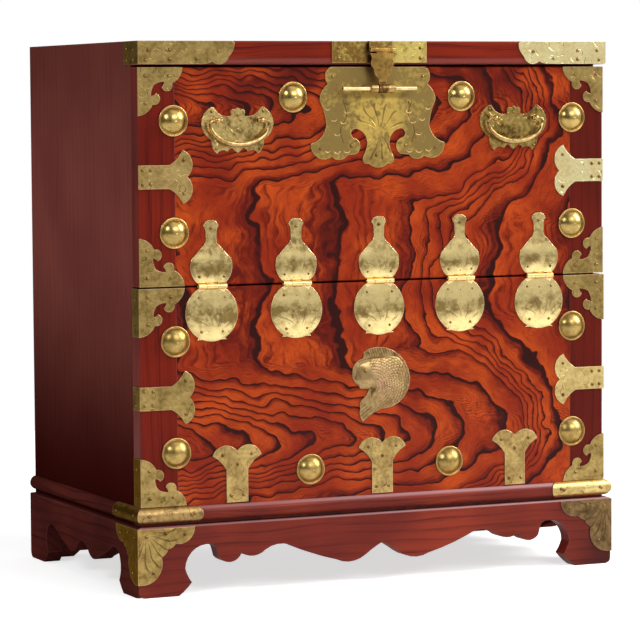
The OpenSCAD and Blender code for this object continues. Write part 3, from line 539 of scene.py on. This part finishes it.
def sprays_and_rod_shadow(f):
    """The blossom, the spray in the tongue, a line inside the edge, and a painted shadow under the
    rod.
    """
    across = f.x - LOCK_X
    blossom = fan(f, across, f.z - BLOSSOM_FOOT, 2.2, 3, 38) * f.z.rise(529, 533)
    tongue = fan(f, across, TONGUE_TOP - f.z, 2.0, 6, 36) * f.z.fall(518, 524)
    border = (across.size() + 0.1 * (f.z - 545) - 43 - 3 * (f.z / 6).cosine()).size()
    line = border.fall(0.4, 1.1) * f.z.band(512, 516, 560, 566)
    # A painted shadow under the rod, which as a cut also sinks the bump there a little.
    rod_shadow = (f.z - ROD_Z).size().fall(1, 7) * (f.x - ROD_X).size().fall(32, 58)
    return (blossom + tongue + line + 0.62 * rod_shadow).rise(0.0, 1.0)


def dark_loop(f):
    """The hasp's loop stays dark and its strap is brighter."""
    return 0.5 * f.z.rise(583, 586)


def right_half(f):
    """The hasp's plate is brighter at the right of the hasp."""
    return 0.9 * f.x.rise(8, 26) * (0.6 + 0.4 * f.wear(9, 3.0, 8.0).rise(0.4, 0.55))


# %% [markdown]
# The carp has a net of scales, a rayed fin and tail, and a plain head. The scales stand in rows
# round one point near the gills, each row half a scale on from the last. The same numbers serve
# twice, because the carp's domed body is cut along the same net further down.

# %% Chasing of the carp
SCALE_MIDDLE = (-9, 229)
SCALE_PITCH, SCALES_ROUND = 3.5, 8.2
SCALE_WIDTH, SCALE_BOW = 1.6, 0.66
GILLS_FROM, GILLS_TO = -12, -7


def scales(f):
    """Cuts along the scales of the body, along the back and in the rays of fin and tail."""
    east, north = f.x - SCALE_MIDDLE[0], f.z - SCALE_MIDDLE[1]
    ring = (east * east + north * north) ** 0.5 / SCALE_PITCH
    v = ring.fraction()
    u = (north.angle(east) * SCALES_ROUND + (ring - v) * 0.5).fraction() - 0.5
    arc = ((u * u * SCALE_WIDTH + v * v) ** 0.5 - SCALE_BOW).size().fall(0.05, 0.2)
    past_gills = (f.x + 0.25 * (f.z - 240)).rise(GILLS_FROM, GILLS_TO)
    body = arc * past_gills * f.z.band(203, 209, 261, 264)
    fin = f.z.rise(264, 266) * (f.x / 3.3 + f.z / 9).off_centre().fall(0.08, 0.22)
    back = (f.z - 263 + 0.006 * f.x * f.x).size().fall(0.3, 0.9)
    tail_rays = ((f.z - 0.75 * f.x) / 4.4).off_centre().fall(0.06, 0.2)
    return (body + fin + back + (f.z + 0.5 * f.x).fall(196, 202) * tail_rays).rise(0.0, 1.0)


# %% [markdown]
# Some plates are pale and clear, and some are olive. The plates at the right take lighter brass
# than their fellows at the left, a painted highlight, and the right foot bracket is a darker copy,
# painted shade. The photograph shows which plate is which, so most plates have a brass of their
# own.

# %% Lay the brasses on the plates
BRASS = worn_brass("worn brass", (188, 160, 98), (132, 108, 59), curls, 0.3)
WARM = worn_brass("warm brass", (208, 177, 112), (154, 126, 74), curls, 0.28)
BRIGHT = worn_brass("bright brass", (236, 208, 138), (188, 160, 98), curls, 0.27)
PALE = worn_brass("pale brass", (254, 240, 180), (216, 194, 136), curls, 0.27)
DULL = worn_brass("dull brass", (255, 228, 128), (140, 106, 52), curls, 0.24, 1.0, right_half)
HASP = worn_brass("hasp brass", (214, 170, 86), (88, 62, 36), curls, 0.3, 1.0, dark_loop)
LOCK = worn_brass("lock brass", (234, 197, 102), (149, 124, 71), sprays_and_rod_shadow, 0.28, 1.0, lock_middle)
GOURD = worn_brass("gourd brass", (255, 228, 156), (150, 124, 72), sprigs, 0.2, 0.5,
                   painted_gourd_reflections)
MATTE = worn_brass("matte brass", (184, 153, 98), (122, 96, 60), curls, 0.38)
HANDLE = worn_brass("handle brass", (236, 205, 130), (122, 96, 52), curls, 0.24)
HANDLE_DARK = worn_brass("dark handle brass", (204, 172, 98), (84, 60, 24), curls, 0.26)
BAIL = worn_brass("bail brass", (190, 164, 106), (136, 112, 66), None, 0.2)
FOOT = worn_brass("leaf brass", (186, 158, 94), (136, 110, 60), leaves, 0.3, 1.1)
# A darker copy of the leaf brass for the right foot bracket: painted shade.
FOOT_SHADED = worn_brass("shaded leaf brass", (140, 113, 76), (92, 72, 46), leaves, 0.3, 1.1)
CARP = worn_brass("scaled brass", (190, 160, 110), (140, 112, 70), scales, 0.3)
ROUND = worn_brass("burnished brass", (204, 174, 104), (176, 148, 84), None, 0.22)
ROUND_DULL = worn_brass("dull burnished brass", (198, 168, 100), (156, 128, 70), None, 0.28)
NAIL_BRASS = worn_brass("nail brass", (150, 120, 66), (84, 62, 30), None, 0.26)
# The last row whose word is in a piece's name gives its brass; the first row is for them all.
# The right straps, the right top corner and the right clip take lighter brass: a painted
# highlight.
METALS = (("", BRASS), ("flap_strap_left", WARM), ("flap_strap_right", PALE),
          ("lower_strap_right", BRIGHT), ("bottom_straps", WARM), ("top_corner_right", PALE),
          ("moulding_clip_right", BRIGHT), ("moulding_clip_left", MATTE),
          ("hinge_leaf", GOURD), ("hinge_pins", ROUND), ("hasp", HASP), ("hasp_plate", DULL),
          ("hasp_pin", ROUND), ("lock_plate", LOCK), ("lock_rod", PALE), ("lock_eyes", WARM),
          ("handle_plate_left", HANDLE), ("handle_plate_right", HANDLE_DARK),
          ("handle_posts", ROUND), ("bail", BAIL), ("foot_bracket", FOOT),
          ("foot_bracket_right", FOOT_SHADED), ("carp_plate", CARP),
          ("flap_bosses", ROUND), ("lower_bosses", ROUND_DULL))
for name, piece in nodes.items():
    if name not in wooden:
        dress(piece, [brass for word, brass in METALS if word in name][-1])
print("brass pieces:", len(nodes) - len(wooden))

# %% [markdown]
# ## Nails
# Each plate is held by small round-headed nails. They could be copied and moved one by one, but
# then nothing says which plate a nail belongs to. Here each plate has a short list of places,
# across and up in millimetres, and the plates that repeat share one list.

# %% Where the nails of the front are
def mirrored(points):
    return [(side * u, v) for side in (-1, 1) for u, v in points]


HALF_FRONT, PANEL_FOOT = 300, 103
FLAP_STRAP_Z, LOWER_STRAP_Z = 478, 226.8
BOTTOM_STRAPS_X, HANDLE_X = (-182, 3, 179), 178
FLAP_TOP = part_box("flap_board")[1][2] * MM
FLAP_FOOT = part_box("flap_board")[0][2] * MM
LOWER_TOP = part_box("lower_board")[1][2] * MM
CLOUD = ((9.4, 9.8), (38, 9.8), (9.4, 41))
STRAP = ((5, 8), (15, 8), (5, -8), (15, -8), (55, 19), (55, -19))
BOTTOM_STRAP = ((-8, 8), (8, 8), (-18, 55), (18, 55), (0, 44))
UPPER_LEAF = ((-15, 364), (0, 362.5), (15, 364), (0, 419))
LOWER_LEAF = ((-16, 340), (0, 339), (16, 340), (-13, 301), (13, 301))
LOCK_PLATE, LOCK_TONGUE = ((58, 591), (40.5, 560.5), (74.3, 507.5), (35, 510.5)), (-2.6, 499.5)
HANDLE_PLATE = ((-32, 552), (32, 552), (0, 548), (-27, 509), (27, 509))
CARP_PLATE = ((-14, 268.8), (-10.3, 226.5), (20, 266))

front = {"case": [], "flap": []}
for u, v in CLOUD:
    front["flap"] += mirrored([(HALF_FRONT - u, FLAP_TOP - v), (HALF_FRONT - u, FLAP_FOOT + v)])
    front["case"] += mirrored([(HALF_FRONT - u, LOWER_TOP - v), (HALF_FRONT - u, PANEL_FOOT + v)])
for u, v in STRAP:
    front["flap"] += mirrored([(HALF_FRONT - u, FLAP_STRAP_Z + v)])
    front["case"] += mirrored([(HALF_FRONT - u, LOWER_STRAP_Z + v)])
for middle in BOTTOM_STRAPS_X:
    front["case"] += [(middle + u, PANEL_FOOT + v) for u, v in BOTTOM_STRAP]
for i in range(-2, 3):
    front["flap"] += [(i * GOURD_PITCH + u, v) for u, v in UPPER_LEAF]
    front["case"] += [(i * GOURD_PITCH + u, v) for u, v in LOWER_LEAF]
front["flap"] += mirrored(LOCK_PLATE) + [LOCK_TONGUE]
for side in (-1, 1):
    front["flap"] += [(side * HANDLE_X + u, v) for u, v in HANDLE_PLATE]
front["case"] += CARP_PLATE

# %% [markdown]
# The other nails are in plates that fold round a corner of the case. Their places are measured
# inwards from that corner, and each nail looks out of its own face.

# %% Where the nails of the corners are
PLATE = 1.2
TO_FRONT = (0, -1, 0)
LIP_NAILS = ((11, 621), (37.3, 621.2), (8, 610), (37.2, 610.8), (70, 611.5), (97, 619.8))
HASP_PLATE_NAILS = ((52.4, 623.9), (52.4, 612.2))
SIDE_NAILS = ((9, 623), (9, 611), (30, 623), (30, 611), (11, 309), (11, 340),
              (11, 220), (11, 233), (11, 114), (11, 146))
FOOT_NAILS = ((9.6, 70.6), (56.4, 70.7), (17.2, 28.7), (33, 72.9), (14.6, 93.9), (68.3, 94.3))
CLIP_NAILS = (14, 66)


def facing_front(points, y):
    """Nails at places in millimetres, on a front face at y metres: where, and which way."""
    return [((u / MM, y, v / MM), TO_FRONT) for u, v in points]


nails = {body: facing_front(points, FACE - PLATE / MM) for body, points in front.items()}
lip_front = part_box("top_corner_left")[0][1]
foot_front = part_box("foot_bracket_left")[0][1]
foot_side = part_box("foot_bracket_right")[1][0]
case_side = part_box("lower_strap_right")[1][0]
(_, clip_front, clip_low), (clip_side, _, clip_high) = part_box("moulding_clip_right")
for side in (-1, 1):
    to_side = (side, 0, 0)
    lip = [(side * (HALF_FRONT - u), v) for u, v in LIP_NAILS]
    nails["case"] += facing_front(lip, lip_front)
    nails["case"] += facing_front([(side * u, v) for u, v in HASP_PLATE_NAILS], lip_front)
    for u, v in SIDE_NAILS:
        nails["case"].append(((side * case_side, FACE + u / MM, v / MM), to_side))
    for u, v in FOOT_NAILS:
        nails["case"] += facing_front([(side * (FOOT_CORNER - u), v)], foot_front)
        nails["case"].append(((side * foot_side, foot_front + u / MM, v / MM), to_side))
    for u in CLIP_NAILS:
        place = (side * (clip_side - u / MM), clip_front, (clip_low + clip_high) / 2)
        nails["case"].append((place, TO_FRONT))

# %% [markdown]
# Geometry Nodes set one head on each point of a list, turned the way that the point says. The
# head is a flattened ball of a few dozen faces, and a seed varies its size a little, because
# handmade nails are never quite alike. The tree ends in plain faces with their brass on them.

# %% One geometry-node tree for all the nails
NAIL_SIDES, NAIL_RINGS = 12, 6
SMALLEST, LARGEST, NAIL_SEED = 0.88, 1.12, 3


def nail_tree():
    tree = bpy.data.node_groups.new("nails", "GeometryNodeTree")
    for name, kind in (("Points", "Geometry"), ("Radius", "Float"), ("Height", "Float"),
                       ("Seed", "Int"), ("Brass", "Material")):
        tree.interface.new_socket(name, in_out="INPUT", socket_type="NodeSocket" + kind)
    tree.interface.new_socket("Nails", in_out="OUTPUT", socket_type="NodeSocketGeometry")

    def add(kind, settings=None, **inputs):
        node = tree.nodes.new(kind)
        for key, value in (settings or {}).items():
            setattr(node, key, value)
        for key, value in inputs.items():
            if isinstance(value, bpy.types.NodeSocket):
                tree.links.new(value, node.inputs[key])
            else:
                node.inputs[key].default_value = value
        return node

    given = tree.nodes.new("NodeGroupInput").outputs
    ball = add("GeometryNodeMeshUVSphere", Segments=NAIL_SIDES, Rings=NAIL_RINGS, Radius=1.0)
    squash = add("ShaderNodeCombineXYZ", X=given["Radius"], Y=given["Radius"], Z=given["Height"])
    head = add("GeometryNodeTransform", Geometry=ball.outputs[0], Scale=squash.outputs[0])
    facing = add("GeometryNodeInputNamedAttribute", {"data_type": "FLOAT_VECTOR"}, Name="facing")
    turn = add("FunctionNodeAlignRotationToVector", {"axis": "Z"}, Vector=facing.outputs[0])
    vary = add("FunctionNodeRandomValue", {"data_type": "FLOAT"}, Seed=given["Seed"])
    # Inputs 2 and 3 are the limits of a random number; 0 and 1 are those of a random vector.
    vary.inputs[2].default_value, vary.inputs[3].default_value = SMALLEST, LARGEST
    spread = add("GeometryNodeInstanceOnPoints", Points=given["Points"], Instance=head.outputs[0],
                 Rotation=turn.outputs[0], Scale=vary.outputs[1])
    real = add("GeometryNodeRealizeInstances", Geometry=spread.outputs[0])
    smooth = add("GeometryNodeSetShadeSmooth", Geometry=real.outputs[0])
    coated = add("GeometryNodeSetMaterial", Geometry=smooth.outputs[0], Material=given["Brass"])
    out = tree.nodes.new("NodeGroupOutput")
    tree.links.new(coated.outputs[0], out.inputs[0])
    return tree


NAILS = nail_tree()

# %% Set the nails
def set_nails(name, body, places, radius=2.1, height=1.3):
    """Nails on one body, as one plain mesh. Each place is a point in metres and a direction."""
    mesh = bpy.data.meshes.new(name + "_points")
    mesh.from_pydata([point for point, facing in places], [], [])
    layer = mesh.attributes.new("facing", "FLOAT_VECTOR", "POINT")
    layer.data.foreach_set("vector", [c for point, facing in places for c in facing])
    holder = add_object(name + "_points", mesh)
    modifier = holder.modifiers.new("nails", "NODES")
    modifier.node_group = NAILS
    given = {"Radius": radius / MM, "Height": height / MM, "Seed": NAIL_SEED, "Brass": NAIL_BRASS}
    for item in NAILS.interface.items_tree:
        if item.name in given:
            modifier[item.identifier] = given[item.name]
    graph = bpy.context.evaluated_depsgraph_get()
    result = bpy.data.meshes.new_from_object(holder.evaluated_get(graph))
    bpy.data.objects.remove(holder)
    heads = add_object(name, result)
    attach(heads, body)
    print(name, len(places), "nails,", len(result.polygons), "faces")


for body, places in nails.items():
    set_nails(body + "_nails", body, places)

# %% [markdown]
# ## Punched crescents
# Rows of small bright crescents follow the wings of the lock plate. A punch raised them from
# behind, so each is a low half-round ridge, thin at both ends. A pipe bent to an arc would be
# equally thick all along, so the ridge is built point by point, with its edges sunk into the
# plate to leave no gap.

# %% Crescents
SUNK = 0.1
SMILE_START, SMILE_SWEEP, SMILE_STEPS = 200, 140, 8
CRESCENT_RADIUS, CRESCENT_WIDTH, CRESCENT_LIFT, BLUNT_END = 4.5, 1.8, 0.8, 0.35
WING = ((65, 557), (57, 544), (45, 541), (52.5, 527), (40, 553), (65, 508), (53, 506.5),
        (40.5, 507))


def crescent(east, north):
    """A ridge that hangs like a smile about a place in millimetres: its corners and faces."""
    corners, faces = [], []
    for i in range(SMILE_STEPS + 1):
        angle = math.radians(SMILE_START + SMILE_SWEEP * i / SMILE_STEPS)
        fullness = math.sin(math.pi * (i + BLUNT_END) / (SMILE_STEPS + 2 * BLUNT_END))
        half = CRESCENT_WIDTH / 2 * fullness
        for reach, out in ((-half, -SUNK), (0, CRESCENT_LIFT * fullness), (half, -SUNK)):
            corners.append(((east + (CRESCENT_RADIUS + reach) * math.cos(angle)) / MM,
                            FACE - (PLATE + out) / MM,
                            (north + (CRESCENT_RADIUS + reach) * math.sin(angle)) / MM))
        if i:
            a = 3 * i
            faces += [(a - 3, a, a + 1, a - 2), (a - 2, a + 1, a + 2, a - 1),
                      (a - 1, a + 2, a, a - 3)]
    return corners, faces + [(0, 1, 2), (a + 2, a + 1, a)]


def smooth_but_for(mesh, degrees):
    """Smooth shading, apart from the edges that turn by more than so many degrees."""
    mesh.polygons.foreach_set("use_smooth", [True] * len(mesh.polygons))
    mesh.set_sharp_from_angle(angle=math.radians(degrees))


def piece_from(name, body, corners, faces, material):
    """A closed brass piece on one body, with its faces turned outwards."""
    mesh = bpy.data.meshes.new(name)
    mesh.from_pydata(corners, [], faces)
    shell = bmesh.new()
    shell.from_mesh(mesh)
    bmesh.ops.recalc_face_normals(shell, faces=shell.faces)
    volume = shell.calc_volume(signed=True) * MM ** 3
    print(name, len(faces), "faces, volume in mm3:", round(volume, 2))
    shell.to_mesh(mesh)
    smooth_but_for(mesh, 60)
    mesh.materials.append(material)
    piece = add_object(name, mesh)
    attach(piece, body)


corners, faces = [], []
for u, v in mirrored(WING):
    more, sides = crescent(u, v)
    faces += [tuple(k + len(corners) for k in side) for side in sides]
    corners += more
piece_from("lock_crescents", "flap", corners, faces, BRIGHT)

# %% [markdown]
# ## Sloping shoulders on the gourds
# The upper leaf of each hinge is a bottle gourd, whose round body narrows to its neck in a long
# slope. The CAD leaf is a plain disc under a neck. Its loose triangles are left alone, and a copy
# is welded into one skin and drawn in a little at the shoulders. The lower leaves have no
# shoulders, and are welded only. Where hundreds of thin triangles meet at the top of a dome, the
# light catches them as a bright speck, so that one corner is dissolved.

# %% Gourd leaves
SHOULDER_ABOVE_BODY, SHOULDER_REACH, DRAWN_IN = 0.0185, 0.012, 0.19
CROWN_TO_BODY = 0.0527
MOST_FACES_AT_A_CORNER = 100
WELD = 1e-6


def draw_in_shoulders(leaf, name):
    """Narrows a leaf about its own middle, most at one height and less above and below it."""
    (west, _, _), (east, _, crown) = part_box(name)
    middle = (west + east) / 2
    for corner in leaf.verts:
        t = (corner.co.z - (crown - CROWN_TO_BODY) - SHOULDER_ABOVE_BODY) / SHOULDER_REACH
        if abs(t) < 1:
            narrowed = 1 - DRAWN_IN * (1 - t * t) ** 2
            corner.co.x = middle + (corner.co.x - middle) * narrowed


leaf_names = sorted(name for name in nodes if name.startswith("hinge_leaf"))
for name in leaf_names:
    upper = "upper" in name
    leaf = bmesh.new()
    leaf.from_mesh(nodes[name].data)
    bmesh.ops.remove_doubles(leaf, verts=leaf.verts, dist=WELD)
    poles = [corner for corner in leaf.verts if len(corner.link_faces) > MOST_FACES_AT_A_CORNER]
    bmesh.ops.dissolve_verts(leaf, verts=poles)
    if upper:
        draw_in_shoulders(leaf, name)
    mesh = bpy.data.meshes.new(name.replace("hinge", "gourd"))
    leaf.to_mesh(mesh)
    smooth_but_for(mesh, 25)
    mesh.materials.append(GOURD)
    gourd = add_object(mesh.name, mesh)
    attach(gourd, "flap" if upper else "case")
    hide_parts(name)
print("gourd leaves:", len(leaf_names), "shoulders drawn in by", DRAWN_IN)

# %% [markdown]
# ## The carp's round body
# The carp plate is beaten up from behind into a low dome. A ball could be flattened, but the carp
# isn't round. So the dome is a grid in rings: its edge follows the flat rim of the plate, its
# height falls off like a flattened ball, and the edges of the scales are cut into it.

# %% Carp dome
CARP_MIDDLE = (3, 236)
# How far the rim is from the middle: the angle in degrees, and the distance in millimetres.
RIM = ((0, 33), (45, 33.5), (90, 26.5), (125, 29), (150, 35), (175, 35.5), (195, 30), (215, 17),
       (238, 25), (262, 32), (290, 31.5), (330, 32.5), (360, 33))
ROUNDS, SPOKES = 44, 200
DOME, SCALE_CUT = 4.5, 0.4


def rim_at(degrees):
    """How far the rim is from the middle, in a smooth line through the points of its list."""
    for (a, near), (b, far) in zip(RIM, RIM[1:]):
        if degrees <= b:
            t = (degrees - a) / (b - a)
            return near + (far - near) * t * t * (3 - 2 * t)


def scale_edge(x, z):
    """1 along the edges of the scales and 0 inside them; 0 all over the head."""
    east, north = x - SCALE_MIDDLE[0], z - SCALE_MIDDLE[1]
    ring = math.hypot(east, north) / SCALE_PITCH
    across = (math.atan2(north, east) * SCALES_ROUND + math.floor(ring) * 0.5) % 1 - 0.5
    out = abs(math.sqrt(SCALE_WIDTH * across ** 2 + (ring % 1) ** 2) - SCALE_BOW)
    past_gills = (x + 0.25 * (z - 240) - GILLS_FROM) / (GILLS_TO - GILLS_FROM)
    return min(max(past_gills, 0), 1) * (1 - min(out / 0.2, 1))


carp_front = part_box("carp_plate")[0][1]
corners = [(CARP_MIDDLE[0] / MM, carp_front - DOME / MM, CARP_MIDDLE[1] / MM)]
faces = []
for i in range(1, ROUNDS + 1):
    share = i / ROUNDS
    inner = 1 + (i - 2) * SPOKES
    for k in range(SPOKES):
        angle = 360 * k / SPOKES
        reach = rim_at(angle) * share
        x = CARP_MIDDLE[0] + reach * math.cos(math.radians(angle))
        z = CARP_MIDDLE[1] + reach * math.sin(math.radians(angle))
        lift = (DOME * (1 - share ** 2.4) ** 0.7
                - SCALE_CUT * scale_edge(x, z) * (1 - share ** 6))
        corners.append((x / MM, carp_front + (SUNK - lift) / MM, z / MM))
        following = (k + 1) % SPOKES
        if i == 1:
            faces.append((0, 1 + k, 1 + following))
        else:
            faces.append((inner + k, inner + SPOKES + k, inner + SPOKES + following,
                          inner + following))
corners.append((CARP_MIDDLE[0] / MM, carp_front + SUNK / MM, CARP_MIDDLE[1] / MM))
outermost = 1 + (ROUNDS - 1) * SPOKES
for k in range(SPOKES):
    faces.append((len(corners) - 1, outermost + (k + 1) % SPOKES, outermost + k))
piece_from("carp_dome", "case", corners, faces, CARP)

# %% [markdown]
# The eye is one more nail, a little larger than the rest, set into the slope of the head.

# %% Carp's eye
EYE_X, EYE_Z, EYE_PROUD = -19.5, 247.2, 2.3
EYE_RADIUS, EYE_HEIGHT = 2.4, 1.4
eye = (EYE_X / MM, carp_front - EYE_PROUD / MM, EYE_Z / MM)
set_nails("carp_eye", "case", [(eye, TO_FRONT)], EYE_RADIUS, EYE_HEIGHT)

# %% [markdown]
# ## Floor
# The chest stands in a white room on a pale floor. More light on the floor would be more light on
# the chest, too. Instead the floor glows for the camera and a little for metal, which it would
# leave dark otherwise, and all other rays find it plain.

# %% Floor
WHITE, FLOOR_GREY = (1, 1, 1, 1), (0.9, 0.9, 0.9, 1)
FLOOR_CORNERS = ((-2.5, -2, 0), (2.5, -2, 0), (2.5, 1.6, 0), (-2.5, 1.6, 0))
GLOW, GLOW_IN_METAL = 0.65, 0.25


def rays(tree):
    """1 for the camera's rays, and 1 for these and all that come off metal or through glass."""
    path = tree.nodes.new("ShaderNodeLightPath").outputs
    kinds = ("Camera", "Glossy", "Transmission")
    from_camera, glossy, clear = (Wire(tree, path[f"Is {kind} Ray"]) for kind in kinds)
    return from_camera, from_camera.larger(glossy.larger(clear))


floor_mesh = bpy.data.meshes.new("floor")
floor_mesh.from_pydata(FLOOR_CORNERS, [], [(0, 1, 2, 3)])
floor = add_object("floor", floor_mesh)
pale = Finish("pale floor", Base_Color=FLOOR_GREY, Roughness=0.95, Specular_IOR_Level=0.1,
              Emission_Color=WHITE)
seen, seen_or_mirrored = rays(pale.material.node_tree)
glow = GLOW * seen + GLOW_IN_METAL * (seen_or_mirrored - seen)
floor_mesh.materials.append(pale.use(Emission_Strength=glow))
print("floor from", FLOOR_CORNERS[0], "to", FLOOR_CORNERS[2])

# %% [markdown]
# ## World
# The world is white for the camera and grey for the light that it sends, so the lacquer keeps its
# depth. Metal shows what is around it: here the room is bright at the right and above, and nearly
# dark at the left, which gives each boss its light and its dark side.

# %% World
AMBIENT = 0.3
DARK_SIDE, BRIGHT_SIDE = 0.1, 0.95

world = bpy.data.worlds.new("studio")
bpy.context.scene.world = world
world.use_nodes = True
tree = world.node_tree
sky = tree.nodes["Background"]
sky.inputs["Color"].default_value = WHITE
seen, seen_or_mirrored = rays(tree)
split = tree.nodes.new("ShaderNodeSeparateXYZ")
tree.links.new(tree.nodes.new("ShaderNodeTexCoord").outputs["Generated"], split.inputs[0])
sideways, height = (Wire(tree, split.outputs[axis]) for axis in "XZ")
reflected = DARK_SIDE + BRIGHT_SIDE * sideways.rise(-0.5, 0.2) * height.rise(0.0, 0.4, 0.45, 1.0)
strength = seen + (seen_or_mirrored - seen) * reflected + (1 - seen_or_mirrored) * AMBIENT
tree.links.new(strength.socket, sky.inputs["Strength"])

# %% [markdown]
# ## Lamps
# A large soft lamp hangs at the right and a smaller one at the left, which is where the two
# highlights on each boss come from. A wide one high in front fills the panels between them. Area
# lamps are used because a wide lamp has a soft shadow, as the photograph's have.

# %% Lamps
def soft_lamp(name, place, aim, width, height, watts):
    lamp = bpy.data.lights.new(name, "AREA")
    lamp.shape, lamp.size, lamp.size_y, lamp.energy = "RECTANGLE", width, height, watts
    holder = add_object(name, lamp)
    holder.location = place
    holder.rotation_mode = "QUATERNION"
    holder.rotation_quaternion = (Vector(aim) - Vector(place)).to_track_quat("-Z", "Y")
    print(name, "of", watts, "watts at", place)


soft_lamp("right lamp", (2.5, -1.1, 2.0), (0, 0, 0.35), 1.3, 1.6, 76)
soft_lamp("left lamp", (-2.3, -1.5, 2.0), (0, 0, 0.4), 0.7, 0.9, 20)
soft_lamp("front lamp", (0.6, -3.6, 2.6), (0, 0, 0.3), 2.4, 1.4, 36)
bpy.context.scene.view_settings.view_transform = "Standard"
